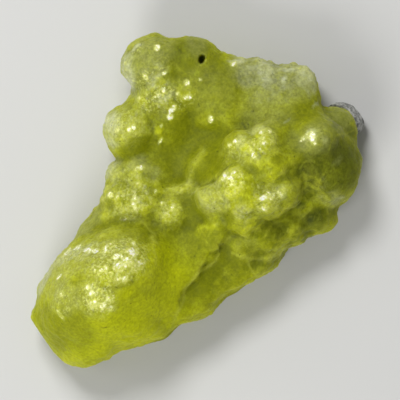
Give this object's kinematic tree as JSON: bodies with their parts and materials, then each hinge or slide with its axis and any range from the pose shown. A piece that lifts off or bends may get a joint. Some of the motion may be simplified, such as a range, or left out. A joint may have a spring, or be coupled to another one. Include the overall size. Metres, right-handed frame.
{
  "type": "brucite crystal specimen",
  "caption": "Hand specimen of yellow botryoidal brucite with a remnant of grey matrix, cut flat at the back and resting on that cut.",
  "frame": {"origin": "centre of the overall box, on the flat cut back that the specimen rests on", "axes": "+X along the long side towards the matrix remnant, +Y towards the head lobe, +Z out of the back towards the botryoidal front"},
  "size_m": [0.0699, 0.049, 0.0258],
  "materials": {
    "brucite": "translucent lemon to olive yellow, waxy with pearly glints",
    "matrix": "dull granular grey rock"
  },
  "bodies": {
    "root": {"brucite_crust": "brucite", "matrix_remnant": "matrix"}
  },
  "joints": []
}
